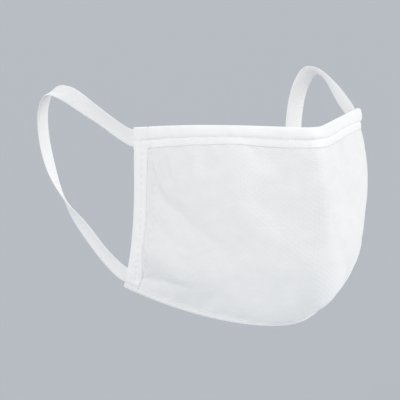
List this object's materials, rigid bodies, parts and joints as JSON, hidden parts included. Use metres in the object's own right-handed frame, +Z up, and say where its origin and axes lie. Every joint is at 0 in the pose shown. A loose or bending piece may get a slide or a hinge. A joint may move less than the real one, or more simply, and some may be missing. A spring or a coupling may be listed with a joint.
{
  "type": "disposable dust mask",
  "caption": "Soft white multi-ply nonwoven dust mask in its worn shape, with bound edges, a nose wire and flat elastic ear loops that swing on its side edges.",
  "frame": {"origin": "middle of the face opening, halfway between the two side edges at half their height", "axes": "+X to the wearer's left, +Y backwards out of the mask to the wearer, +Z up; the nose ridge faces -Y"},
  "size_m": [0.1608, 0.1511, 0.1133],
  "materials": {
    "cover_nonwoven": "matt spunbond nonwoven",
    "filter_web": "matt melt-blown web",
    "lining_nonwoven": "soft matt nonwoven",
    "binding_nonwoven": "pressed nonwoven strip",
    "loop_elastic": "fine knitted elastic",
    "nose_wire": "matt plastic over wire"
  },
  "bodies": {
    "mask": {"inner_lining": "lining_nonwoven", "filter_ply": "filter_web", "outer_cover": "cover_nonwoven", "top_binding": "binding_nonwoven", "bottom_binding": "binding_nonwoven", "nose_wire": "nose_wire", "side_binding_left": "binding_nonwoven", "upper_loop_tab_left": "loop_elastic", "lower_loop_tab_left": "loop_elastic", "side_binding_right": "binding_nonwoven", "upper_loop_tab_right": "loop_elastic", "lower_loop_tab_right": "loop_elastic"},
    "left_loop": {"ear_loop_left": "loop_elastic"},
    "right_loop": {"ear_loop_right": "loop_elastic"}
  },
  "joints": [
    {"name": "left_loop_swing", "type": "hinge", "parent": "mask", "child": "left_loop", "pos_m": [0.06163, 0.01593, -0.03479], "axis": [-0.0298, 0.1717, -0.9847], "range_deg": [-55, 110]},
    {"name": "right_loop_swing", "type": "hinge", "parent": "mask", "child": "right_loop", "pos_m": [-0.06163, 0.01593, -0.03479], "axis": [-0.0298, -0.1717, 0.9847], "range_deg": [-55, 110]}
  ]
}
